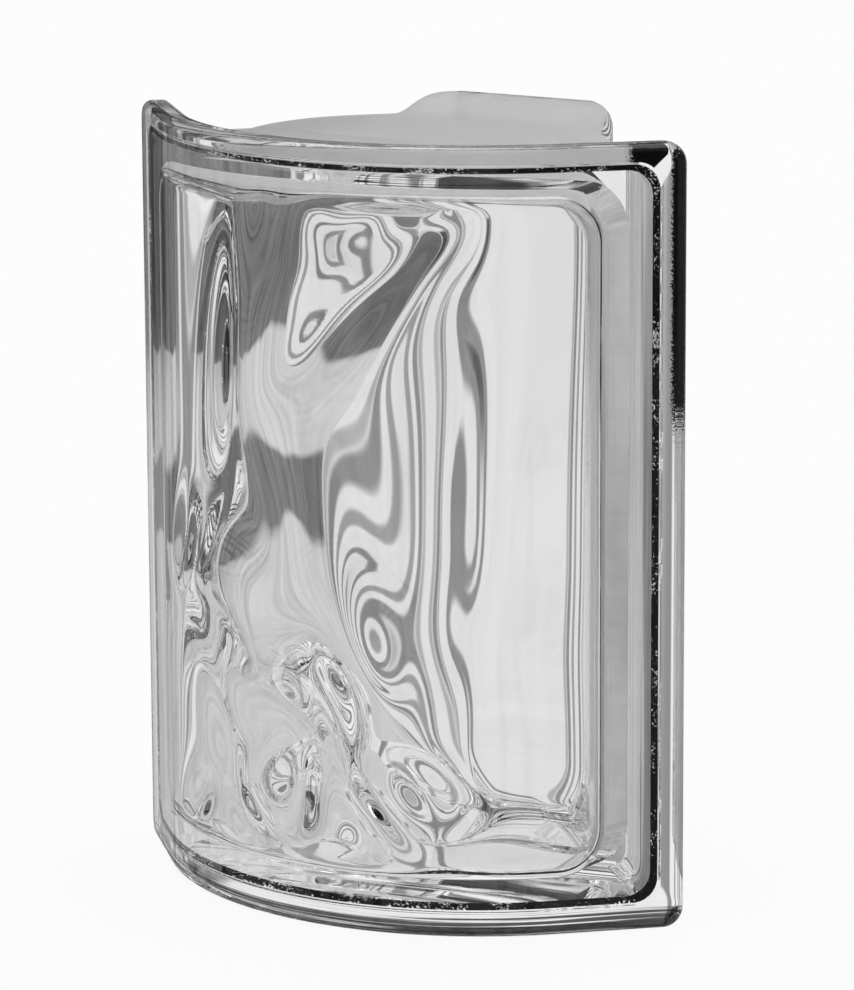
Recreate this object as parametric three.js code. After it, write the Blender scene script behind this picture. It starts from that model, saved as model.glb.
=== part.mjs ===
// Hollow glass block for turning a 90 degree corner in a glass wall.
//
// The block is two pressed glass half-shells fused along a flat seam. The outer half-shell has a
// tall face that bends round the corner, with a flange all round it. The inner half-shell closes
// the back with a narrow flat face. The body between them is set back, which leaves a channel for
// mortar and reinforcing rods on all four edges. The inside of the bent face is pressed in waves.
//
// Millimetres, +Z up. The seam and the narrow face are parallel to the XZ plane, and the bent face
// bulges towards -Y. The origin is under the middle of the block, on the surface it stands on.

import * as THREE from 'three';

// ---- Driving dimensions ----

const HEIGHT = 190;
const THICKNESS = 80;
const OUTER_RADIUS = 80;           // bend of the face, measured on the outside
const ARM_LENGTH = 32;             // straight stretch of the face on each side of the bend
const SEAM_TO_BEND_AXIS = 22;      // the seam lies this far in front of the axis of the bend

// Flange round the bent face
const FLANGE_DEPTH = 8.2;
const FLANGE_FRONT_ROUND = 2.4;
const FLANGE_BACK_ROUND = 3;       // the back edge is a quarter of an ellipse, this deep
const FLANGE_BACK_REACH = 4.6;     // and this far across
const FLANGE_CORNER = 5;
const CHANNEL_DEPTH = 7;           // how far the body is set back from the edge of the flange
const ROOT_FILLET = 2;
const BODY_CORNER = 6;

// Hollow of the outer half-shell. Its end walls are thicker in front, so that it runs nearly square to
// the seam.
const FACE_THICKNESS = 9;
const FRONT_WALL = 5;
const FRONT_END_WALL = 10.5;
const SEAM_WALL = 4.5;
const SEAM_END_WALL = 3.2;
const FRONT_HOLLOW_FILLET = 5;
const HOLLOW_CORNER = 12;
const SEAM_BEAD = 0.7;             // ridge of squeezed glass round the inside of the seam
const SEAM_BEAD_REACH = 1.4;       // how far the ridge runs to each side of the seam

// Inner half-shell
const SEAM_STEP = 0.3;             // it stands this much proud of the outer one at the seam
const BODY_SET_BACK = 4.8;         // channel depth where the body starts to flare into the rim
const FLARE_LENGTH = 14;
const RIM_EDGE = 3;                // flat edge of the rear rim, measured across the block
const RIM_ROUND = 1.4;
const RIM_SET_BACK = 0.3;          // the rim's edge stops this far short of the flange's
const RIM_CORNER = 5;
const REAR_THICKNESS = 8;
const REAR_WALL = 5.5;
const REAR_END_WALL = 3.6;
const REAR_HOLLOW_FILLET = 3;

// Waves pressed into the inside of the bent face: long mounds and, where the height is under 0, dents.
// Each has its middle along and up the face from the face's own middle, its height, its half length,
// its half width and the turn of its length from level, in degrees.
const WAVES = [
  { along: -14, up: 81, height: 3.1, length: 31, width: 7, turn: 84 },
  { along: 14, up: 75, height: 4.3, length: 9, width: 22, turn: 85 },
  { along: 19, up: 68, height: -1.6, length: 41, width: 6, turn: 43 },
  { along: 16, up: 63, height: 4.5, length: 32, width: 9, turn: 45 },
  { along: -17, up: 54, height: -4.8, length: 46, width: 12, turn: 78 },
  { along: 36, up: 52, height: 1.8, length: 45, width: 22, turn: 65 },
  { along: -8, up: 11, height: -4.5, length: 47, width: 16, turn: -79 },
  { along: 41, up: 5, height: 0.6, length: 48, width: 7, turn: 88 },
  { along: -52, up: -9, height: 2, length: 10, width: 6, turn: 75 },
  { along: -18, up: -20, height: -5, length: 47, width: 15, turn: -6 },
  { along: 12, up: -28, height: -2.8, length: 16, width: 9, turn: -73 },
  { along: -5, up: -41, height: -2.6, length: 12, width: 16, turn: 48 },
  { along: -11, up: -41, height: 2.4, length: 9, width: 19, turn: 10 },
  { along: 1, up: -46, height: 3.8, length: 31, width: 11, turn: -74 },
  { along: -18, up: -50, height: 3.9, length: 13, width: 12, turn: -71 },
  { along: 3, up: -55, height: 4.4, length: 40, width: 19, turn: 68 },
  { along: -20, up: -60, height: -3, length: 12, width: 7, turn: 60 },
  { along: -32, up: -60, height: 2.5, length: 16, width: 6, turn: -70 },
  { along: 29, up: -61, height: 3.5, length: 11, width: 7, turn: -34 },
  { along: -11, up: -62, height: 3.8, length: 9, width: 7, turn: 27 },
  { along: -10, up: -68, height: 3, length: 12, width: 6, turn: -50 },
  { along: -44, up: -70, height: 2.2, length: 12, width: 6, turn: 40 },
  { along: 16, up: -72, height: 2.8, length: 13, width: 7, turn: -25 },
  { along: 9, up: -73, height: 0.6, length: 13, width: 7, turn: -11 },
  { along: -26, up: -74, height: 2.6, length: 12, width: 6, turn: -30 },
  { along: 36, up: -74, height: -2, length: 12, width: 6, turn: 10 },
  { along: -2, up: -76, height: -2.6, length: 12, width: 6, turn: 20 },
];
const WAVE_MARGIN = 5;             // the waves die out over this distance from the hollow's walls

// Fineness of the faceted surfaces
const FACE_CELLS = { along: 36, up: 34 };
const REAR_CELLS = { along: 12, up: 24 };
const CORNER_CELLS = 3;
const ROUND_STEPS = 3;
const FLARE_STEPS = 6;
const BODY_STEPS = 4;
const BEAD_STEPS = 2;

// ---- Derived sizes ----

const HALF_ARC = OUTER_RADIUS * Math.PI / 4;
const HALF_DEVELOPED = HALF_ARC + ARM_LENGTH;
const HALF_HEIGHT = HEIGHT / 2;
const SEAM_Y = -SEAM_TO_BEND_AXIS;
const REAR_Y = (ARM_LENGTH + THICKNESS - OUTER_RADIUS) / Math.SQRT2;
const ORIGIN_SHIFT_Y = (OUTER_RADIUS - REAR_Y) / 2;

// ---- Lattices with rounded corners ----

// Place of one lattice line on a side that is 2 * half long, with corners of the given radius.
function linePosition(index, count, half, radius) {
  const fromEnd = Math.min(index, count - index);
  if (fromEnd < CORNER_CELLS) {
    const side = index < count / 2 ? -1 : 1;
    return side * (half - radius * fromEnd / CORNER_CELLS);
  }
  const share = (index - CORNER_CELLS) / (count - 2 * CORNER_CELLS);
  return (half - radius) * (2 * share - 1);
}

// Lattice point (i, j) of a rounded rectangle. Each corner of the square lattice is drawn in to a
// quarter disc.
function roundedPoint(i, j, cells, halfAlong, halfUp, radius) {
  const along = linePosition(i, cells.along, halfAlong, radius);
  const up = linePosition(j, cells.up, halfUp, radius);
  const overAlong = Math.abs(along) - (halfAlong - radius);
  const overUp = Math.abs(up) - (halfUp - radius);
  if (overAlong <= 0 || overUp <= 0) {
    return { along, up };
  }
  const shrink = Math.max(overAlong, overUp) / Math.hypot(overAlong, overUp);
  return {
    along: Math.sign(along) * (halfAlong - radius + overAlong * shrink),
    up: Math.sign(up) * (halfUp - radius + overUp * shrink),
  };
}

// The lattice points on the boundary as [i, j] pairs, once round.
function boundaryLoop(cells) {
  const { along, up } = cells;
  const count = 2 * (along + up);
  return Array.from({ length: count }, (_, k) => {
    if (k < along) return [k, 0];
    if (k < along + up) return [along, k - along];
    if (k < 2 * along + up) return [2 * along + up - k, up];
    return [0, count - k];
  });
}

// A closed shell from a stack of layers, each a function (i, j) -> Vector3. The first and the last
// layer are whole faces, and the layers between are rings that join them.
function shellGeometry(cells, layers) {
  const positions = [];
  const triangles = [];
  const loop = boundaryLoop(cells);

  function addVertex(point) {
    positions.push(point.x, point.y, point.z);
    return positions.length / 3 - 1;
  }

  function addQuad(a, b, c, d) {
    triangles.push(a, b, c, a, c, d);
  }

  function addFace(layer, facesBack) {
    const width = cells.up + 1;
    const first = positions.length / 3;
    for (let i = 0; i <= cells.along; i++) {
      for (let j = 0; j <= cells.up; j++) addVertex(layer(i, j));
    }
    for (let i = 0; i < cells.along; i++) {
      for (let j = 0; j < cells.up; j++) {
        const a = first + i * width + j;
        if (facesBack) addQuad(a, a + 1, a + width + 1, a + width);
        else addQuad(a, a + width, a + width + 1, a + 1);
      }
    }
    return loop.map(([i, j]) => first + i * width + j);
  }

  function joinRings(ring, next) {
    ring.forEach((id, k) => {
      const after = (k + 1) % ring.length;
      addQuad(ring[after], id, next[k], next[after]);
    });
  }

  const rings = layers.slice(1, -1).map((layer) => () => loop.map(([i, j]) => addVertex(layer(i, j))));
  let ring = addFace(layers[0], false);
  rings.forEach((addRing) => {
    const next = addRing();
    joinRings(ring, next);
    ring = next;
  });
  joinRings(ring, addFace(layers[layers.length - 1], true));

  const geometry = new THREE.BufferGeometry();
  geometry.setAttribute('position', new THREE.Float32BufferAttribute(positions, 3));
  geometry.setIndex(triangles);
  geometry.computeVertexNormals();
  return geometry;
}

// Quarter round of radius 1 from (0, 0), where it runs across, to (1, 1), where it runs down.
const QUARTER_ROUND = Array.from({ length: ROUND_STEPS + 1 }, (_, k) => {
  const angle = (k / ROUND_STEPS) * Math.PI / 2;
  return { across: Math.sin(angle), down: 1 - Math.cos(angle) };
});
const QUARTER_ROUND_BACK = [...QUARTER_ROUND].reverse();

// ---- Places in the block ----

// The point at a distance along the bent face, a height above its middle and a depth square to it.
function facePoint(along, up, depth) {
  const bent = THREE.MathUtils.clamp(along, -HALF_ARC, HALF_ARC);
  const straight = along - bent;
  const angle = bent / OUTER_RADIUS;
  const radius = OUTER_RADIUS - depth;
  return new THREE.Vector3(
    radius * Math.sin(angle) + straight * Math.cos(angle),
    -radius * Math.cos(angle) + straight * Math.sin(angle) + ORIGIN_SHIFT_Y,
    up + HALF_HEIGHT,
  );
}

// Layer of the outer half-shell that follows the bent face. It is set back from the ends of the face
// and from its top and bottom.
function bentLayer(endSetBack, setBack, depth, corner, relief = () => 0) {
  const halfAlong = HALF_DEVELOPED - endSetBack;
  const halfUp = HALF_HEIGHT - setBack;
  return (i, j) => {
    const { along, up } = roundedPoint(i, j, FACE_CELLS, halfAlong, halfUp, corner);
    return facePoint(along, up, depth + relief(along, up));
  };
}

// Layer in a plane parallel to the seam, at y from the axis of the bend. The end faces stand at 45
// degrees, so the block narrows towards the back. A layer facing the back runs from +X to -X.
function flatLayer(cells, y, endSetBack, setBack, corner, facing = 1) {
  const halfAlong = Math.SQRT2 * (ARM_LENGTH - endSetBack) - y;
  const halfUp = HALF_HEIGHT - setBack;
  return (i, j) => {
    const { along, up } = roundedPoint(i, j, cells, halfAlong, halfUp, corner);
    return new THREE.Vector3(facing * along, y + ORIGIN_SHIFT_Y, up + HALF_HEIGHT);
  };
}

// Half of the ridge round the inside of the seam, from its crest at the seam to its foot. side is -1 in
// front of the seam and 1 behind it.
function beadLayers(cells, side, facing) {
  return Array.from({ length: BEAD_STEPS + 1 }, (_, k) => {
    const share = k / BEAD_STEPS;
    const rise = SEAM_BEAD * (1 - share * share) ** 2;
    const y = SEAM_Y + side * SEAM_BEAD_REACH * share;
    const setBack = CHANNEL_DEPTH + SEAM_WALL + rise;
    return flatLayer(cells, y, CHANNEL_DEPTH + SEAM_END_WALL + rise, setBack, HOLLOW_CORNER, facing);
  });
}

// Depth of the pressed waves at a place on the bent face, dying out at the hollow's walls.
function waveRelief(along, up) {
  const total = WAVES.reduce((sum, wave) => {
    const turn = THREE.MathUtils.degToRad(wave.turn);
    const fromAlong = along - wave.along;
    const fromUp = up - wave.up;
    const x = (fromAlong * Math.cos(turn) + fromUp * Math.sin(turn)) / wave.length;
    const y = (fromUp * Math.cos(turn) - fromAlong * Math.sin(turn)) / wave.width;
    return sum + wave.height * Math.exp(-x * x - y * y);
  }, 0);
  const marginAlong = HALF_DEVELOPED - CHANNEL_DEPTH - FRONT_END_WALL - Math.abs(along);
  const marginUp = HALF_HEIGHT - CHANNEL_DEPTH - FRONT_WALL - Math.abs(up);
  return total * THREE.MathUtils.smoothstep(Math.min(marginAlong, marginUp), 0, WAVE_MARGIN);
}

// ---- Pieces ----

function outerHalfShell() {
  const frontRound = QUARTER_ROUND.map(({ across, down }) => {
    const setBack = FLANGE_FRONT_ROUND * (1 - across);
    return bentLayer(setBack, setBack, FLANGE_FRONT_ROUND * down, FLANGE_CORNER - setBack);
  });

  const backRound = QUARTER_ROUND_BACK.map(({ across, down }) => {
    const setBack = FLANGE_BACK_REACH * (1 - across);
    return bentLayer(setBack, setBack, FLANGE_DEPTH - FLANGE_BACK_ROUND * down, FLANGE_CORNER);
  });

  const root = QUARTER_ROUND.map(({ across, down }) => {
    const setBack = CHANNEL_DEPTH - ROOT_FILLET * (1 - across);
    return bentLayer(setBack, setBack, FLANGE_DEPTH + ROOT_FILLET * down, BODY_CORNER);
  });

  const seam = [
    flatLayer(FACE_CELLS, SEAM_Y, CHANNEL_DEPTH, CHANNEL_DEPTH, BODY_CORNER),
    ...beadLayers(FACE_CELLS, -1, 1),
  ];

  const hollowFillet = QUARTER_ROUND_BACK.map(({ across, down }) => {
    const inwards = FRONT_HOLLOW_FILLET * (1 - across);
    const endSetBack = CHANNEL_DEPTH + FRONT_END_WALL + inwards;
    const setBack = CHANNEL_DEPTH + FRONT_WALL + inwards;
    const depth = FACE_THICKNESS + FRONT_HOLLOW_FILLET * down;
    return bentLayer(endSetBack, setBack, depth, HOLLOW_CORNER - inwards, waveRelief);
  });
  return shellGeometry(FACE_CELLS, [...frontRound, ...backRound, ...root, ...seam, ...hollowFillet]);
}

function innerHalfShell() {
  const rimRound = QUARTER_ROUND.map(({ across, down }) => {
    const inwards = RIM_ROUND * (1 - across);
    const setBack = RIM_SET_BACK + inwards;
    return flatLayer(REAR_CELLS, REAR_Y - RIM_ROUND * down, setBack, setBack, RIM_CORNER - inwards, -1);
  });

  // The flare is a smooth S from the rim's edge down to the body.
  const rimFront = REAR_Y - RIM_ROUND - RIM_EDGE;
  const flare = Array.from({ length: FLARE_STEPS + 1 }, (_, k) => {
    const share = k / FLARE_STEPS;
    const setBack = THREE.MathUtils.lerp(RIM_SET_BACK, BODY_SET_BACK, share * share * (3 - 2 * share));
    return flatLayer(REAR_CELLS, rimFront - FLARE_LENGTH * share, setBack, setBack, RIM_CORNER, -1);
  });

  // The body draws in towards the seam, slowly at first and then in a cubic curve.
  const flareEnd = rimFront - FLARE_LENGTH;
  const seamSetBack = CHANNEL_DEPTH - SEAM_STEP;
  const body = Array.from({ length: BODY_STEPS }, (_, k) => {
    const share = (k + 1) / BODY_STEPS;
    const setBack = THREE.MathUtils.lerp(BODY_SET_BACK, seamSetBack, share ** 3);
    const y = THREE.MathUtils.lerp(flareEnd, SEAM_Y, share);
    return flatLayer(REAR_CELLS, y, setBack, setBack, BODY_CORNER, -1);
  });

  const hollowFillet = QUARTER_ROUND_BACK.map(({ across, down }) => {
    const inwards = REAR_HOLLOW_FILLET * (1 - across);
    const y = REAR_Y - REAR_THICKNESS - REAR_HOLLOW_FILLET * down;
    const endSetBack = BODY_SET_BACK + REAR_END_WALL + inwards;
    const setBack = BODY_SET_BACK + REAR_WALL + inwards;
    return flatLayer(REAR_CELLS, y, endSetBack, setBack, HOLLOW_CORNER - inwards, -1);
  });
  const bead = beadLayers(REAR_CELLS, 1, -1);
  return shellGeometry(REAR_CELLS, [...rimRound, ...flare, ...body, ...bead, ...hollowFillet]);
}

const glass = new THREE.MeshStandardMaterial({
  color: 0xe6ebe9,
  roughness: 0.04,
  metalness: 0,
  transparent: true,
  opacity: 0.35,
});

const block = new THREE.Group();
for (const [name, geometry] of [
  ['outer_half_shell', outerHalfShell()],
  ['inner_half_shell', innerHalfShell()],
]) {
  const mesh = new THREE.Mesh(geometry, glass);
  mesh.name = name;
  block.add(mesh);
}

export default block;
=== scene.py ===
"""Looks of the corner glass block: one body of clear pressed glass, fused from two half-shells, with a
matt pale coating in its mortar channel and waves pressed into the inside of its bent face.

Metres, +Z up, in the frame of the CAD model. The bent face bulges towards -Y.
"""

import math

import bpy
import numpy as np
from mathutils import Matrix, Vector


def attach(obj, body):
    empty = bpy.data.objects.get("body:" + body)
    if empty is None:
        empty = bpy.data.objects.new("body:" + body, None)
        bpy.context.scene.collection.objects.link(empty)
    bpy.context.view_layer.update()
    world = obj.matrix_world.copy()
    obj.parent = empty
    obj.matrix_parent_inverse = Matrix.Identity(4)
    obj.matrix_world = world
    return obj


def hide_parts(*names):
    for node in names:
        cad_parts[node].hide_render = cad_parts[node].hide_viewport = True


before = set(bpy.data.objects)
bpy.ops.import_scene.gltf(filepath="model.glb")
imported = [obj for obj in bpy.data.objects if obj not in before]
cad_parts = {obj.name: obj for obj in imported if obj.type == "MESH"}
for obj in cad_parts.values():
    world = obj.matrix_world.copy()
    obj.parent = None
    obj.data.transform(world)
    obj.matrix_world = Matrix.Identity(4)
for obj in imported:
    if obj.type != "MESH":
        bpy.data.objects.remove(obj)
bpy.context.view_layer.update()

MM = 0.001

# ---- Sizes of the block, the same as the solids' ----

HEIGHT = 190 * MM
THICKNESS = 80 * MM
OUTER_RADIUS = 80 * MM            # bend of the face, on the outside
ARM_LENGTH = 32 * MM              # straight stretch of the face on each side of the bend
SEAM_Y = -22 * MM                 # the seam, from the axis of the bend

FLANGE_DEPTH = 8.2 * MM
FLANGE_FRONT_ROUND = 2.4 * MM
FLANGE_BACK_REACH = 5 * MM        # the back curls over to the edge across this width
FLANGE_BACK_SLOPE = math.radians(14)   # slope of the back where it leaves the channel
FLANGE_CORNER = 5 * MM
CHANNEL_DEPTH = 7 * MM            # set-back of the body from the edge of the flange
ROOT_FILLET = 2 * MM
BODY_CORNER = 6 * MM

FACE_THICKNESS = 9 * MM
FRONT_WALL = 5 * MM               # top and bottom walls at the front of the hollow
FRONT_END_WALL = 10.5 * MM        # end walls there
SEAM_WALL = 4.5 * MM
SEAM_END_WALL = 3.2 * MM
FRONT_HOLLOW_FILLET = 5 * MM
HOLLOW_CORNER = 12 * MM
SEAM_BEAD = 0.7 * MM              # ridge of fused glass round the inside of the seam
SEAM_BEAD_HALF = 1.4 * MM

SEAM_STEP = 0.3 * MM              # the inner half-shell stands this much proud at the seam
SEAM_ROUND = 0.5 * MM
BODY_SET_BACK = 4.8 * MM
FLARE_LENGTH = 14 * MM
RIM_EDGE = 3 * MM
RIM_ROUND = 1.4 * MM
RIM_SET_BACK = 0.3 * MM
RIM_CORNER = 5 * MM
REAR_THICKNESS = 8 * MM
REAR_WALL = 5.5 * MM
REAR_END_WALL = 3.6 * MM
REAR_HOLLOW_FILLET = 3 * MM

# Waves pressed into the inside of the bent face: (along, up) of the middle, height, half length,
# half width in millimetres, and the turn of the length from level in degrees. Heights under 0 are hollows.
WAVES = [
    (-14, 81, 3.1, 31, 7, 84),
    (14, 75, 4.3, 9, 22, 85),
    (19, 68, -1.6, 41, 6, 43),
    (16, 63, 4.5, 32, 9, 45),
    (-17, 54, -4.8, 46, 12, 78),
    (36, 52, 1.8, 45, 22, 65),
    (-8, 11, -4.5, 47, 16, -79),
    (41, 5, 0.6, 48, 7, 88),
    (-52, -9, 2, 10, 6, 75),
    (-18, -20, -5, 47, 15, -6),
    (12, -28, -2.8, 16, 9, -73),
    (-5, -41, -2.6, 12, 16, 48),
    (-11, -41, 2.4, 9, 19, 10),
    (1, -46, 3.8, 31, 11, -74),
    (-18, -50, 3.9, 13, 12, -71),
    (3, -55, 4.4, 40, 19, 68),
    (-20, -60, -3, 12, 7, 60),
    (-32, -60, 2.5, 16, 6, -70),
    (29, -61, 3.5, 11, 7, -34),
    (-11, -62, 3.8, 9, 7, 27),
    (-10, -68, 3, 12, 6, -50),
    (-44, -70, 2.2, 12, 6, 40),
    (16, -72, 2.8, 13, 7, -25),
    (9, -73, 0.6, 13, 7, -11),
    (-26, -74, 2.6, 12, 6, -30),
    (36, -74, -2, 12, 6, 10),
    (-2, -76, -2.6, 12, 6, 20),
]
WAVE_MARGIN = 5 * MM              # the waves die out over this distance from the walls of the hollow

HALF_ARC = OUTER_RADIUS * math.pi / 4
HALF_DEVELOPED = HALF_ARC + ARM_LENGTH
HALF_HEIGHT = HEIGHT / 2
ROOT2 = math.sqrt(2)
REAR_Y = (ARM_LENGTH + THICKNESS - OUTER_RADIUS) / ROOT2     # rear face, from the axis of the bend
ORIGIN_SHIFT_Y = (OUTER_RADIUS - REAR_Y) / 2                 # the axis of the bend stands at this y

# ---- Fineness ----

OUTSIDE_CELLS = 96                # lattice cells along each side of a face
HOLLOW_CELLS = 144
CORNER_CELLS = 8
ROUND_STEPS = 6
FLANGE_BACK_STEPS = 18
BODY_STEPS = FLARE_STEPS = 12
SEAM_BEAD_STEPS = 8

# ---- Finishes of the block's body: its material slots, in order ----

# The last two slots are clear glass with painted dark reflections.
CLEAR, COATED, PAINTED_DARK_SLOT, FLANGE_EDGE = range(4)
CLEAR_ENDS = (COATED, CLEAR, COATED, CLEAR)     # a band's finish: bottom, right end, top, left end


# ---- Lattices ----

def lattice_line(index, cells, half, radius):
    """Place of the lattice lines on a side of length 2 half: evenly spaced in the corner zones of length
    radius, and evenly between them."""
    from_end = np.minimum(index, cells - index)
    in_corner = half - radius * from_end / CORNER_CELLS
    share = (index - CORNER_CELLS) / (cells - 2 * CORNER_CELLS)
    between = (half - radius) * (2 * share - 1)
    return np.where(from_end < CORNER_CELLS, np.where(index < cells / 2, -in_corner, in_corner), between)


def rounded(lattice, half_along, half_up, radius):
    """Points of a rounded rectangle, for a lattice given as (i, j, cells). In a corner the square lattice
    is drawn in to a quarter disc: a point at (a, b) from the corner's centre moves to
    (a, b) max(a, b) / |(a, b)|."""
    i, j, cells = lattice
    along, up = lattice_line(i, cells, half_along, radius), lattice_line(j, cells, half_up, radius)
    over_a = np.maximum(np.abs(along) - (half_along - radius), 0)
    over_u = np.maximum(np.abs(up) - (half_up - radius), 0)
    reach = np.hypot(over_a, over_u)
    shrink = np.where(reach > 0, np.maximum(over_a, over_u) / np.maximum(reach, 1e-12), 1)
    along = np.sign(along) * (np.abs(along) - over_a * (1 - shrink))
    up = np.sign(up) * (np.abs(up) - over_u * (1 - shrink))
    return along, up


def boundary(cells):
    """The lattice's boundary as two index arrays: along the bottom, up the right end, back along the top
    and down the left end."""
    k = np.arange(cells)
    full, none = np.full(cells, cells), np.zeros(cells, int)
    return np.concatenate([k, full, cells - k, none]), np.concatenate([none, k, full, cells - k])


def face_point(along, up, depth):
    """Points at a distance along the bent face, a height above its middle and a depth square to it:
    (R - depth) (sin a, -cos a) + straight (cos a, sin a), with a = bent / R."""
    bent = np.clip(along, -HALF_ARC, HALF_ARC)
    straight, angle = along - bent, bent / OUTER_RADIUS
    radius = OUTER_RADIUS - depth
    x = radius * np.sin(angle) + straight * np.cos(angle)
    y = -radius * np.cos(angle) + straight * np.sin(angle) + ORIGIN_SHIFT_Y
    return np.stack([x, y, up + HALF_HEIGHT], axis=-1)


def wave_relief(along, up):
    """Depth of the pressed waves: a sum of long mounds height * exp(-(x / length)^2 - (y / width)^2), with
    x and y measured along and across each mound, times a smooth step over the margin to the walls."""
    total = 0
    for middle_along, middle_up, height, length, width, turn in WAVES:
        cosine, sine = math.cos(math.radians(turn)), math.sin(math.radians(turn))
        from_along, from_up = along / MM - middle_along, up / MM - middle_up
        x = (from_along * cosine + from_up * sine) / length
        y = (from_up * cosine - from_along * sine) / width
        total = total + height * MM * np.exp(-x * x - y * y)
    margin_along = HALF_DEVELOPED - CHANNEL_DEPTH - FRONT_END_WALL - np.abs(along)
    margin_up = HALF_HEIGHT - CHANNEL_DEPTH - FRONT_WALL - np.abs(up)
    return total * smooth_step(np.clip(np.minimum(margin_along, margin_up) / WAVE_MARGIN, 0, 1))


def bent_layer(set_back, depth, corner, relief=None, end_set_back=None):
    """A layer that follows the bent face at a depth, with a relief added to it, set back from the face's
    top and bottom edges and from its ends."""
    end = set_back if end_set_back is None else end_set_back
    half_along, half_up = HALF_DEVELOPED - end, HALF_HEIGHT - set_back

    def place(lattice):
        along, up = rounded(lattice, half_along, half_up, corner)
        return face_point(along, up, depth + (relief(along, up) if relief else 0))
    return place


def flat_layer(y, set_back, corner, end_set_back=None):
    """A layer parallel to the seam. The ends stand at 45 degrees, so its half width is
    sqrt(2) (arm - set_back) - y."""
    end = set_back if end_set_back is None else end_set_back
    half_along, half_up = ROOT2 * (ARM_LENGTH - end) - y, HALF_HEIGHT - set_back

    def place(lattice):
        along, up = rounded(lattice, half_along, half_up, corner)
        return np.stack([along, np.full(along.shape, y + ORIGIN_SHIFT_Y), up + HALF_HEIGHT], axis=-1)
    return place


def quarter_round():
    """(across, down) along a quarter circle of radius 1, from (0, 0) to (1, 1)."""
    angle = np.linspace(0, np.pi / 2, ROUND_STEPS + 1)
    return list(zip(np.sin(angle), 1 - np.cos(angle)))


def flange_back():
    """(set-back, rise) along the back of the flange from the channel to the edge. The slope grows along it
    from the first slope to a right angle with the third power of the way."""
    way = np.linspace(0, 1, FLANGE_BACK_STEPS + 1)
    slope = FLANGE_BACK_SLOPE + (np.pi / 2 - FLANGE_BACK_SLOPE) * way ** 3
    across = np.concatenate([[0], np.cumsum((np.cos(slope[1:]) + np.cos(slope[:-1])) / 2)])
    rise = np.concatenate([[0], np.cumsum((np.sin(slope[1:]) + np.sin(slope[:-1])) / 2)])
    return list(zip(FLANGE_BACK_REACH * (1 - across / across[-1]), FLANGE_BACK_REACH * rise / across[-1]))


def smooth_step(share):
    """3 s^2 - 2 s^3, which rises from 0 to 1 and is level at both."""
    return share * share * (3 - 2 * share)


# ---- Surfaces ----

def closed_surface(cells, layers, slots, inwards):
    """Vertices, quads and slot of each quad for a closed surface: the first and the last layer are whole
    lattices, and the rings between them are joined in turn. slots gives the slot of the first face, of each
    band between two layers and of the last face. A band's slot can be one for each side, in the order of
    the boundary."""
    i, j = np.meshgrid(np.arange(cells + 1), np.arange(cells + 1), indexing="ij")
    lattice_id = np.arange((cells + 1) ** 2).reshape(cells + 1, cells + 1)
    corner = lattice_id[:-1, :-1], lattice_id[1:, :-1], lattice_id[1:, 1:], lattice_id[:-1, 1:]
    sheet = np.stack([c.ravel() for c in corner], axis=-1)
    edge_i, edge_j = boundary(cells)
    points, quads = [layers[0]((i, j, cells)).reshape(-1, 3)], [sheet]
    quad_slots = [np.full(len(sheet), slots[0])]
    ring = lattice_id[edge_i, edge_j]
    count = len(points[0])
    for place, slot in zip(layers[1:], slots[1:-1]):
        last = place is layers[-1]
        points.append(place((i, j, cells) if last else (edge_i, edge_j, cells)).reshape(-1, 3))
        following = count + (lattice_id[edge_i, edge_j] if last else np.arange(len(ring)))
        quads.append(np.stack([np.roll(ring, -1), ring, following, np.roll(following, -1)], axis=-1))
        quad_slots.append(np.repeat(np.broadcast_to(slot, 4), cells))
        if last:
            quads.append(count + sheet[:, ::-1])
            quad_slots.append(np.full(len(sheet), slots[-1]))
        count += len(points[-1])
        ring = following
    quads = np.concatenate(quads)
    return np.concatenate(points), quads[:, ::-1] if inwards else quads, np.concatenate(quad_slots)


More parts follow.
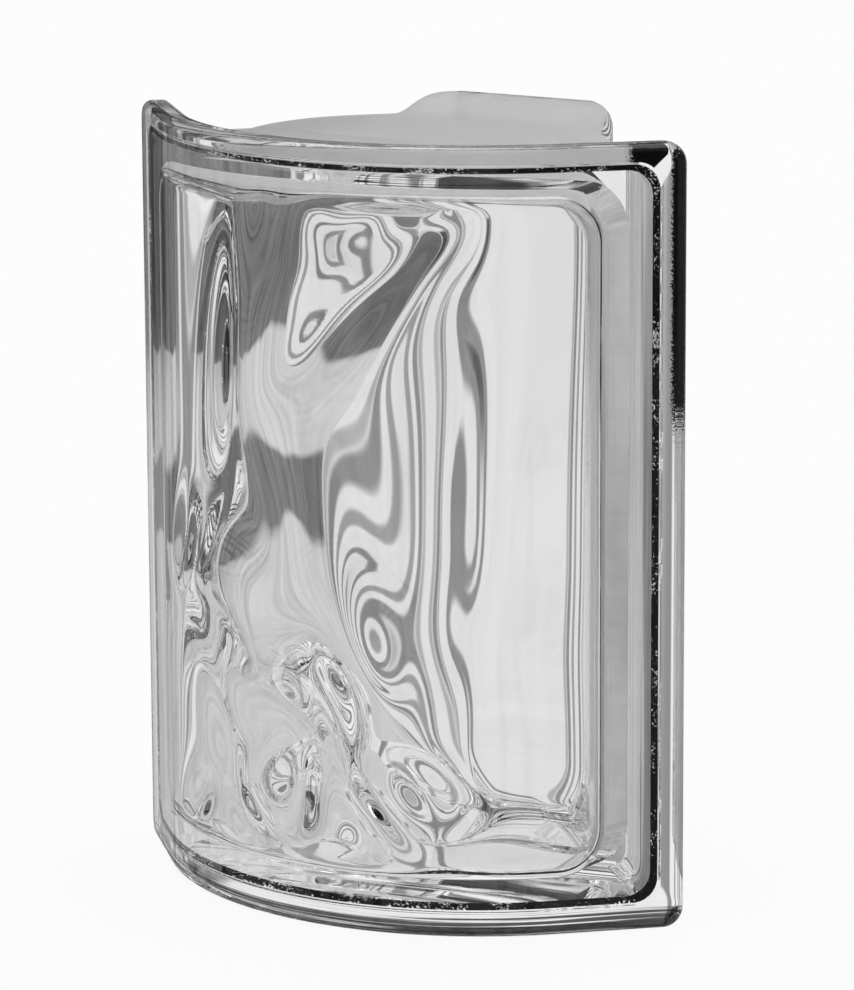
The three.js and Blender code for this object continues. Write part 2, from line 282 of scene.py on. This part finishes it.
def outside_surface():
    """The outside of the block: bent face, flange, body, seam, flare, rear rim and rear face."""
    layers, slots = [], [CLEAR]

    def add(layer, slot):
        layers.append(layer)
        slots.append(slot)

    for across, down in quarter_round():
        back = FLANGE_FRONT_ROUND * (1 - across)
        add(bent_layer(back, FLANGE_FRONT_ROUND * down, FLANGE_CORNER - back), CLEAR)
    # The back of the flange is clear glass with painted dark reflections.
    for back, rise in reversed(flange_back()):
        add(bent_layer(back, FLANGE_DEPTH - rise, FLANGE_CORNER), FLANGE_EDGE)
    # The fillet behind the flange carries a ragged band of painted dark reflection.
    for step, (across, down) in enumerate(quarter_round()):
        back = CHANNEL_DEPTH - ROOT_FILLET * (1 - across)
        finish = PAINTED_DARK_SLOT if step > 0 else CLEAR
        add(bent_layer(back, FLANGE_DEPTH + ROOT_FILLET * down, BODY_CORNER), finish)
    slots[-1] = COATED

    # The edges of both half-shells are rounded over a little where they are fused.
    add(flat_layer(SEAM_Y - SEAM_ROUND, CHANNEL_DEPTH, BODY_CORNER), COATED)
    add(flat_layer(SEAM_Y, CHANNEL_DEPTH + SEAM_ROUND / 2, BODY_CORNER), COATED)
    seam_set_back = CHANNEL_DEPTH - SEAM_STEP
    rim_front = REAR_Y - RIM_ROUND - RIM_EDGE
    flare_start = rim_front - FLARE_LENGTH
    for share in np.linspace(0, 1, BODY_STEPS + 1):
        y = SEAM_Y + SEAM_ROUND + (flare_start - SEAM_Y - SEAM_ROUND) * share
        back = BODY_SET_BACK + (seam_set_back - BODY_SET_BACK) * (1 - share) ** 3
        add(flat_layer(y, back, BODY_CORNER), COATED)
    slots[-1] = CLEAR_ENDS
    for share in np.linspace(0, 1, FLARE_STEPS + 1)[1:]:
        back = BODY_SET_BACK + (RIM_SET_BACK - BODY_SET_BACK) * smooth_step(share)
        corner = BODY_CORNER + (RIM_CORNER - BODY_CORNER) * share
        add(flat_layer(flare_start + FLARE_LENGTH * share, back, corner), CLEAR_ENDS)
    slots[-1] = CLEAR
    for across, down in reversed(quarter_round()):
        back = RIM_SET_BACK + RIM_ROUND * (1 - across)
        add(flat_layer(REAR_Y - RIM_ROUND * down, back, RIM_CORNER - RIM_ROUND * (1 - across)), CLEAR)
    return closed_surface(OUTSIDE_CELLS, layers, slots, inwards=False)


def hollow_surface():
    """The wall of the hollow inside: the wavy inside of the bent face, the side walls with the ridge of
    fused glass at the seam, and the rear."""
    layers = []
    for across, down in quarter_round():
        inward = FRONT_HOLLOW_FILLET * (1 - across)
        depth = FACE_THICKNESS + FRONT_HOLLOW_FILLET * down
        layers.append(bent_layer(CHANNEL_DEPTH + FRONT_WALL + inward, depth, HOLLOW_CORNER - inward,
                                 wave_relief, CHANNEL_DEPTH + FRONT_END_WALL + inward))
    for share in np.linspace(-1, 1, SEAM_BEAD_STEPS + 1):
        bead = SEAM_BEAD * (1 - share * share) ** 2
        layers.append(flat_layer(SEAM_Y + SEAM_BEAD_HALF * share, CHANNEL_DEPTH + SEAM_WALL + bead,
                                 HOLLOW_CORNER, CHANNEL_DEPTH + SEAM_END_WALL + bead))
    for across, down in reversed(quarter_round()):
        inward = REAR_HOLLOW_FILLET * (1 - across)
        y = REAR_Y - REAR_THICKNESS - REAR_HOLLOW_FILLET * down
        layers.append(flat_layer(y, BODY_SET_BACK + REAR_WALL + inward, HOLLOW_CORNER - inward,
                                 BODY_SET_BACK + REAR_END_WALL + inward))
    return closed_surface(HOLLOW_CELLS, layers, [CLEAR] * (len(layers) + 1), inwards=True)


def piece(name, surfaces, materials):
    """One smooth-shaded mesh object from several closed surfaces, riding on the block's body."""
    mesh = bpy.data.meshes.new(name)
    offsets = np.cumsum([0] + [len(points) for points, _, _ in surfaces])
    points = np.concatenate([points for points, _, _ in surfaces])
    quads = np.concatenate([quads + offset for (_, quads, _), offset in zip(surfaces, offsets)])
    mesh.vertices.add(len(points))
    mesh.vertices.foreach_set("co", points.astype(np.float32).ravel())
    mesh.loops.add(quads.size)
    mesh.loops.foreach_set("vertex_index", quads.astype(np.int32).ravel())
    mesh.polygons.add(len(quads))
    mesh.polygons.foreach_set("loop_start", np.arange(0, quads.size, 4, dtype=np.int32))
    slots = np.concatenate([slots for _, _, slots in surfaces])
    mesh.polygons.foreach_set("material_index", slots.astype(np.int32))
    for material in materials:
        mesh.materials.append(material)
    mesh.update(calc_edges=True)
    mesh.validate()
    mesh.shade_smooth()
    obj = bpy.data.objects.new(name, mesh)
    bpy.context.scene.collection.objects.link(obj)
    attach(obj, "root")
    return obj


# ---- Shader maths ----

class Shade:
    """A socket's value in a shader tree. Arithmetic on it adds Math nodes."""

    def __init__(self, tree, socket):
        self.tree, self.socket = tree, socket

    def node(self, kind, settings, output=0, **inputs):
        """Add a node of another kind: its settings first, then its sockets' values and links by name, with
        _ for a space, and give back one of its outputs."""
        node = self.tree.nodes.new(kind)
        for name, value in settings.items():
            setattr(node, name, value)
        for name, value in inputs.items():
            plug(value, node.inputs[name.replace("_", " ")])
        return Shade(self.tree, node.outputs[output])

    def maths(self, operation, *values):
        """Add a Math node with these values or links in its sockets."""
        node = self.tree.nodes.new("ShaderNodeMath")
        node.operation = operation
        for place, value in enumerate(values):
            plug(value, node.inputs[place])
        return Shade(self.tree, node.outputs[0])

    def __add__(self, other):
        return self.maths("ADD", self, other)

    def __sub__(self, other):
        return self.maths("SUBTRACT", self, other)

    def __rsub__(self, other):
        return self.maths("SUBTRACT", other, self)

    def __mul__(self, other):
        return self.maths("MULTIPLY", self, other)

    def __truediv__(self, other):
        return self.maths("DIVIDE", self, other)

    def __lt__(self, other):
        return self.maths("LESS_THAN", self, other)

    def __gt__(self, other):
        return self.maths("GREATER_THAN", self, other)

    def __neg__(self):
        return 0 - self

    def __abs__(self):
        return self.maths("ABSOLUTE", self)

    __radd__, __rmul__ = __add__, __mul__

    def at_least(self, other):
        return self.maths("MAXIMUM", self, other)

    def at_most(self, other):
        return self.maths("MINIMUM", self, other)

    def cosine(self):
        return self.maths("COSINE", self)

    def between(self, low, high):
        """low where this is 0, high where it is 1, and in proportion between."""
        return low + self * (high - low)

    def step(self, low, high):
        """Smooth step from 0 at low to 1 at high."""
        settings = {"interpolation_type": "SMOOTHSTEP"}
        return self.node("ShaderNodeMapRange", settings, Value=self, From_Min=low, From_Max=high)

    def parts(self):
        """The three parts of a vector."""
        split = self.node("ShaderNodeSeparateXYZ", {}, Vector=self)
        return [Shade(self.tree, socket) for socket in split.socket.node.outputs]

    def noise(self, scale, detail):
        """Noise round 0, from -0.5 to 0.5, with scale cells to the metre. Three scales, one for each axis,
        stretch the cells."""
        if isinstance(scale, tuple):
            stretched = self.node("ShaderNodeMapping", {}, Vector=self, Scale=scale)
            return stretched.noise(1, detail)
        return self.node("ShaderNodeTexNoise", {}, Vector=self, Scale=scale, Detail=detail) - 0.5


def plug(value, socket):
    """Link a Shade to a socket, or set the socket to a plain value."""
    if isinstance(value, Shade):
        value.tree.links.new(value.socket, socket)
    else:
        socket.default_value = value


def new_material(name):
    """A material with its Principled shader and its object coordinates."""
    material = bpy.data.materials.new(name)
    material.use_nodes = True
    tree = material.node_tree
    place = Shade(tree, tree.nodes.new("ShaderNodeTexCoord").outputs["Object"])
    return material, tree.nodes["Principled BSDF"], place


def mixed(place, factor, first, second):
    """A mix of two shader outputs. It is put on the material's output, and a later mix takes its place."""
    tree = place.tree
    mix = tree.nodes.new("ShaderNodeMixShader")
    plug(factor, mix.inputs[0])
    tree.links.new(first, mix.inputs[1])
    tree.links.new(second, mix.inputs[2])
    tree.links.new(mix.outputs[0], tree.nodes["Material Output"].inputs["Surface"])
    return mix.outputs[0]


def grey_paint(tree, grey, roughness):
    """A matt grey shader."""
    shader = tree.nodes.new("ShaderNodeBsdfPrincipled")
    shader.inputs["Base Color"].default_value = (grey, grey, grey, 1)
    shader.inputs["Roughness"].default_value = roughness
    return shader


def black_paint(tree, grey, roughness):
    """A matt dark shader that mirrors nothing."""
    shader = grey_paint(tree, grey, roughness)
    shader.inputs["Specular IOR Level"].default_value = 0
    return shader


def set_glass(shader, tint, roughness):
    """Make a Principled shader one of glass."""
    shader.inputs["Base Color"].default_value = (tint, tint, tint, 1)
    shader.inputs["Roughness"].default_value = roughness
    shader.inputs["IOR"].default_value = GLASS_IOR
    shader.inputs["Transmission Weight"].default_value = 1


def end_places(x, y):
    """Depth behind the front of the arms, and distance along them from the bend, at a place on an arm."""
    side, forward = abs(x), ORIGIN_SHIFT_Y - y
    return OUTER_RADIUS - (side + forward) / ROOT2, (side - forward) / ROOT2


# ---- Clear glass ----

GLASS_IOR = 1.52
GLASS_TINT = 0.88
LINE_HEIGHT = 0.12 * MM
LINE_CELLS = (900, 900, 8)                # cells of the lines' noise to the metre
LINES_FRONT = 2.5 * MM, 4 * MM            # the lines fade in between these depths behind the front
LINES_SIDE = 13.5 * MM, 15 * MM           # and between these distances along the arm
LINES_REAR = ORIGIN_SHIFT_Y + SEAM_Y + 2.94 * MM       # they end just behind the seam


def clear_glass():
    """Clear glass with fine upright lines, left by the press, in the end walls behind the front."""
    material, shader, place = new_material("clear pressed glass")
    set_glass(shader, GLASS_TINT, 0)
    x, y, _ = place.parts()
    depth, along = end_places(x, y)
    on_ends = depth.step(*LINES_FRONT) * along.step(*LINES_SIDE) * (y < LINES_REAR)
    lines = (place.noise(LINE_CELLS, 3) + 0.5) * on_ends
    bump = lines.node("ShaderNodeBump", {}, Strength=1.0, Distance=LINE_HEIGHT, Height=lines)
    plug(bump, shader.inputs["Normal"])
    return material


# ---- Coating of the mortar channel ----

COAT_TINT = 0.94
COAT_ROUGHNESS = 0.35
BARE_ROUGHNESS = 0.02                     # of the bottom, where the coating is worn off
COAT_PALE = 0.86
COAT_MATT = 0.6
DARKEST, PALEST = 0.01, 0.95
LIT_TINT = 0.98                           # of the light that comes through the coating
COAT_WALL = CHANNEL_DEPTH + 0.8 * MM      # no deeper than this from the top or bottom is the channel there
COAT_END = 34.5 * MM                      # further out than this are the end walls

LIT_SIDE, LIT_TOP = 0.8, 0.55             # share of the coating that lets light through
LIT_RIGHT_LESS = 0.3                      # and this much less at the right end
LEFT_COVER, RIGHT_COVER, TOP_COVER = 0.9, 0.5, 0.8     # share of the glass that is coated
SPECKLE_CELLS, SPECKLE = 300, 0.2

BRUSH_CELLS, BRUSH_CONTRAST = (700, 700, 14), 2.4      # upright brush marks on the end walls
BRUSH_GREY, BRUSH_LIT, BRUSH_COVER = 0.45, 0.4, 0.5

PATCH_DARK, PATCH_SOLID = 0.48, 0.85      # grey patches on the left end wall, one above the other
PATCH_CELLS, PATCH_RAGGED = 28, 30 * MM   # noise of their edges
UPPER_PATCH = 128 * MM, 131 * MM          # heights between which an edge of a patch fades
LOWER_PATCH_BOTTOM, LOWER_PATCH_TOP = (80 * MM, 83 * MM), (99 * MM, 103 * MM)

STREAK_END = 16 * MM, 19 * MM             # depth at which the painted dark reflections next to the flange fade out
STREAK_RIGHT_MORE = 5 * MM
STREAK_RAGGED = 8 * MM
STREAK_FADE = 110 * MM, 155 * MM          # heights between which the streaks change
LEFT_STREAK, RIGHT_STREAK = (0.08, 0.53), (0.55, 0.35)     # darkness below and above


def channel_coating():
    """Pale coating on the glass of the mortar channel. It lets light through, more on the left end wall
    than on top, and is worn off the bottom. Darker grey patches that let less light through lie on the left
    end wall, and painted dark reflections run as streaks next to the flange."""
    material, thin, place = new_material("channel coating")
    set_glass(thin, COAT_TINT, COAT_ROUGHNESS)
    pale = grey_paint(place.tree, COAT_PALE, COAT_MATT)
    lit = place.tree.nodes.new("ShaderNodeBsdfTranslucent")
    lit.inputs["Color"].default_value = (LIT_TINT, LIT_TINT, LIT_TINT, 1)

    x, y, z = place.parts()
    depth, _ = end_places(x, y)
    top, bottom = z > HEIGHT - COAT_WALL, z < COAT_WALL
    ends = (1 - top) * (1 - bottom)
    left, right = (x < -COAT_END) * ends, (x > COAT_END) * ends

    brushed = place.noise(BRUSH_CELLS, 4) * BRUSH_CONTRAST * ends
    level = z + place.noise(PATCH_CELLS, 3) * PATCH_RAGGED
    lower_patch = level.step(*LOWER_PATCH_BOTTOM) * (1 - level.step(*LOWER_PATCH_TOP))
    patch = (level.step(*UPPER_PATCH) + lower_patch) * left
    # Painted dark reflections next to the flange, as streaks: they darken the paint and let less light
    # through.
    near_flange = 1 - (depth + brushed * STREAK_RAGGED - right * STREAK_RIGHT_MORE).step(*STREAK_END)
    fade = z.step(*STREAK_FADE)
    painted_streak = near_flange * (left * fade.between(*LEFT_STREAK) + right * fade.between(*RIGHT_STREAK))
    patch_or_painted_streak = patch.at_least(painted_streak)

    # Grey of the paint: darker in the patches, darkest in the painted dark reflections.
    grey = (COAT_PALE - patch * PATCH_DARK + brushed * BRUSH_GREY) * (1 - painted_streak)
    grey = grey.at_most(PALEST).at_least(DARKEST)
    colour = place.node("ShaderNodeCombineColor", {}, Red=grey, Green=grey, Blue=grey)
    plug(colour, pale.inputs["Base Color"])
    plug(bottom.between(COAT_ROUGHNESS, BARE_ROUGHNESS), thin.inputs["Roughness"])

    through = (top.between(LIT_SIDE, LIT_TOP) + brushed * BRUSH_LIT) * (1 - patch_or_painted_streak * PATCH_SOLID)
    through = through * (1 - painted_streak * left) - right * LIT_RIGHT_LESS
    paint = mixed(place, through, pale.outputs[0], lit.outputs[0])
    cover = top.between(LEFT_COVER, TOP_COVER) + right * (RIGHT_COVER - LEFT_COVER)
    cover = (cover + place.noise(SPECKLE_CELLS, 3) * SPECKLE + brushed * BRUSH_COVER) * (1 - bottom)
    mixed(place, cover * (1 - patch_or_painted_streak) + patch_or_painted_streak, thin.outputs[0], paint)
    return material


# ---- Painted dark reflections, in the fillet behind the flange and on the flange ----

EDGE_GREY, EDGE_MATT = 0.02, 0.6
EDGE_FINE_CELLS, EDGE_COARSE_CELLS = 1500, 120
EDGE_FINE, EDGE_COARSE = 0.6, 0.4         # shares of the two noises
EDGE_DARK_STEP = -0.10, -0.04                  # noise at which the dark begins, and is full
EDGE_LEFT, EDGE_LEFT_LESS = -30 * MM, 0.2               # there is this much less of it, left of this


def painted_dark_fillet():
    """Ragged band of painted dark reflection in the fillet behind the flange, thinner on the left."""
    material, clear, place = new_material("painted dark fillet")
    set_glass(clear, GLASS_TINT, 0)
    dark = black_paint(place.tree, EDGE_GREY, EDGE_MATT)
    x, _, _ = place.parts()
    ragged = place.noise(EDGE_FINE_CELLS, 3) * EDGE_FINE + place.noise(EDGE_COARSE_CELLS, 2) * EDGE_COARSE
    cover = 1 - (x < EDGE_LEFT) * EDGE_LEFT_LESS
    mixed(place, ragged.step(*EDGE_DARK_STEP) * cover, clear.outputs[0], dark.outputs[0])
    return material


# Painted dark reflections on the flange's edge.
STRIP_GREY, STRIP_MATT = 0.012, 0.5
EDGE_NOISE_CELLS = 2400
STRIP_WIDTH = 2.5 * MM, 2.9 * MM          # the dark strip at an end fades out here, from the edge
STRIP_LEFT = 0.5                          # its darkness at the left end; at the right end it is 1
STRIP_RISE = 95 * MM, 150 * MM            # it comes up between these heights
STRIP_NOISE, STRIP_RAGGED = 0.9, 3 * MM
STRIP_DARK_STEP = 0.42, 0.58                   # rise and noise at which the painted dark begins, and is full
MITRE_BELOW, MITRE_ABOVE = -0.2 * MM, 0.6 * MM         # sides of the clear mitre between the dark parts
CORNER_REACH, CORNER_RAGGED = (12 * MM, 14 * MM), 4 * MM
CORNER_TOP = 6.6 * MM

UNDER_HEIGHT = 4.6 * MM                   # the lines along the bottom edge end at this height
UNDER_CELLS, UNDER_CONTRAST = (14, 14, 2600), 3
UNDER_DARK = 0.28                         # what is added to their noise at the edge, on the left
UNDER_SIDE, UNDER_RIGHT = (-60 * MM, 50 * MM), 0.4     # it grows by this much towards the right
UNDER_FALL = 0.1 / MM                     # and falls by this much with the height
UNDER_STEP, UNDER_FULL = (0.08, 0.40), 0.9             # where the dark begins and is full, and how dark


def flange_edge():
    """Clear glass with painted dark reflections: dark streaks along the upper half of the flange's ends,
    dark on both sides of the mitre in its upper right corner, and fine dark lines along the bottom edge."""
    material, clear, place = new_material("flange edge")
    set_glass(clear, GLASS_TINT, 0)
    dark = black_paint(place.tree, STRIP_GREY, STRIP_MATT)
    x, y, z = place.parts()
    _, along = end_places(x, y)
    from_end, from_top = ARM_LENGTH - along, HEIGHT - z
    right, mitre = x > 0, from_end - from_top
    edge_noise = place.noise(EDGE_NOISE_CELLS, 2)

    strip = 1 - (from_end + edge_noise * STRIP_RAGGED).step(*STRIP_WIDTH)
    dark_rise = (z.step(*STRIP_RISE) + edge_noise * STRIP_NOISE).step(*STRIP_DARK_STEP)
    strip = strip * dark_rise * (mitre < MITRE_BELOW) * right.between(STRIP_LEFT, 1)
    corner = 1 - (from_end + edge_noise * CORNER_RAGGED).step(*CORNER_REACH)
    corner = corner * right * (from_top < CORNER_TOP) * (mitre > MITRE_ABOVE)

    lines = place.noise(UNDER_CELLS, 3) * UNDER_CONTRAST
    under = lines + x.step(*UNDER_SIDE) * UNDER_RIGHT - z * UNDER_FALL + UNDER_DARK
    under = under.step(*UNDER_STEP) * (z < UNDER_HEIGHT) * UNDER_FULL
    mixed(place, strip.at_least(corner).at_least(under), clear.outputs[0], dark.outputs[0])
    return material


glass = piece("fused_glass_body", [outside_surface(), hollow_surface()],
              [clear_glass(), channel_coating(), painted_dark_fillet(), flange_edge()])
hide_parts("outer_half_shell", "inner_half_shell")

# ---- Stage and light ----

FLOOR_HALF = 4.0
FLOOR_TINT = 0.9
FLOOR_WHITE = 0.9                 # share of plain white in what the camera sees of the floor
WORLD_LEVEL = 0.9
GLOSSY = 0.36                     # brightness of the room in the glass's outer reflections

# Black cards round the block: heading in degrees from +Y towards -X, width in degrees and darkness. In
# this and what follows, a height is the sine of the angle above level.
NARROW_CARDS = ((4.5, 1.0, 0.75), (15.5, 1.4, 0.6), (22.6, 2.0, 0.7), (26.6, 0.8, 0.45), (39.5, 1.4, 0.7))
NARROW_REPEATS, NARROW_BLUR = 8, 3.2          # copies of each in a turn, blur of an edge in degrees
WIDE_CARDS = ((50.5, 17, 0.95),)
WIDE_REPEATS, WIDE_BLUR = 2, 7
WIDE_FOOT = -0.205, -0.165                    # the wide cards fade in between these heights
BARS_LOW, BARS_HIGH = 0.03, 0.25              # level black bars between two heights
BARS_RATE, BARS_STEP = 90, (0.3, 0.6)         # they are where -cos(rate height) is over the step

RING_FOOT, RING_DARK = (0.26, 0.36), 0.68     # dark ring overhead
RING_SIDE, RING_SIDE_DARK = (math.radians(13), math.radians(19)), 0.20       # darker past this heading
RING_TOP, RING_TOP_LESS = (0.52, 0.62), 0.50
SOFT_BOX_EDGE, SOFT_BOX = (0.80, 0.86), 1.6   # soft box right overhead


def card_ring(angle, cards, repeats, blur):
    """Darkness of upright cards, each repeated evenly round the turn: a sum of smooth steps on
    cos(repeats (angle - heading)), from the edge of the card's blur to the edge of the card."""
    dark = 0
    for heading, width, darkness in cards:
        inner, outer = (math.cos(math.radians(repeats / 2 * w)) for w in (width, width + blur))
        dark = dark + ((angle - math.radians(heading)) * repeats).cosine().step(outer, inner) * darkness
    return dark


def black_cards(angle, up):
    """1 in the directions of the black cards and bars that stand round the block, 0 between them."""
    narrow = card_ring(angle, NARROW_CARDS, NARROW_REPEATS, NARROW_BLUR)
    wide = card_ring(angle, WIDE_CARDS, WIDE_REPEATS, WIDE_BLUR) * up.step(*WIDE_FOOT)
    bars = (up > BARS_LOW) * (up < BARS_HIGH) * (-(up * BARS_RATE).cosine()).step(*BARS_STEP)
    return narrow.at_least(bars).at_least(wide)


def light_path(tree):
    """1 for a ray from the camera, for one reflected by something glossy and for one refracted by glass. A
    refracted ray also counts as glossy, and one that a translucent coating scatters as transmitted."""
    path = tree.nodes.new("ShaderNodeLightPath")
    camera, diffuse, glossy, through = (Shade(tree, path.outputs["Is %s Ray" % kind])
                                        for kind in ("Camera", "Diffuse", "Glossy", "Transmission"))
    through = through * (1 - diffuse)
    return camera, glossy * (1 - through), through


def pale_floor():
    """Matt pale floor, whitened where the camera sees it."""
    material, shader, place = new_material("pale floor")
    shader.inputs["Base Color"].default_value = (FLOOR_TINT, FLOOR_TINT, FLOOR_TINT, 1)
    shader.inputs["Roughness"].default_value = 1
    camera, glossy, through = light_path(place.tree)
    white = place.tree.nodes.new("ShaderNodeEmission")
    mixed(place, camera * FLOOR_WHITE + through + glossy * GLOSSY, shader.outputs[0], white.outputs[0])
    return material


def floor():
    """A square of floor. The glass reflects and refracts the room in its place."""
    mesh = bpy.data.meshes.new("floor")
    h = FLOOR_HALF
    mesh.from_pydata([(-h, -h, 0), (h, -h, 0), (h, h, 0), (-h, h, 0)], [], [(0, 1, 2, 3)])
    mesh.materials.append(pale_floor())
    obj = bpy.data.objects.new("floor", mesh)
    bpy.context.scene.collection.objects.link(obj)
    obj.visible_transmission = obj.visible_glossy = False


def studio():
    """Even pale light for matt surfaces. The glass sees a white room with the black cards and a dark ring
    in it, and a soft box overhead."""
    world = bpy.data.worlds.new("studio")
    bpy.context.scene.world = world
    world.use_nodes = True
    tree = world.node_tree
    _, glossy, through = light_path(tree)
    x, y, up = Shade(tree, tree.nodes.new("ShaderNodeTexCoord").outputs["Generated"]).parts()
    angle = x.maths("ARCTAN2", -x, y)
    wall = 1 - black_cards(angle, up)
    ring = up.step(*RING_FOOT) * (RING_DARK + angle.step(*RING_SIDE) * RING_SIDE_DARK)
    dome = 1 - ring * (1 - up.step(*RING_TOP) * RING_TOP_LESS)
    box = up.step(*SOFT_BOX_EDGE) * SOFT_BOX
    level = (1 - glossy - through) * WORLD_LEVEL
    level = level + through * (wall * dome + box) + glossy * (wall * GLOSSY + box)
    background = tree.nodes["Background"]
    background.inputs["Color"].default_value = (1, 1, 1, 1)
    plug(level, background.inputs["Strength"])


floor()
studio()

# ---- Camera ----

CAMERA_PLACE = Vector((655.30, -996.544, 347.05)) * MM
CAMERA_HEADING, CAMERA_DIP, CAMERA_ROLL = 0.580, 0.207, -0.005      # radians
FRAME_HEIGHT, FOCAL_PIXELS = 990, 4961.8                            # pixels
SENSOR = 36                       # millimetres, along the frame's longer side
GLASS_BOUNCES = 64                # total reflection inside the glass counts as glossy

camera_data = bpy.data.cameras.new("camera")
camera_data.sensor_width = SENSOR
camera_data.lens = FOCAL_PIXELS * SENSOR / FRAME_HEIGHT
camera_data.clip_end = 100
camera = bpy.data.objects.new("camera", camera_data)
bpy.context.scene.collection.objects.link(camera)
turn = (Matrix.Rotation(CAMERA_HEADING, 4, "Z") @ Matrix.Rotation(math.pi / 2 - CAMERA_DIP, 4, "X")
        @ Matrix.Rotation(CAMERA_ROLL, 4, "Z"))
camera.matrix_world = Matrix.Translation(CAMERA_PLACE) @ turn
bpy.context.scene.camera = camera

bpy.context.scene.view_settings.view_transform = "Standard"
cycles = bpy.context.scene.cycles
cycles.max_bounces = cycles.transmission_bounces = cycles.glossy_bounces = GLASS_BOUNCES
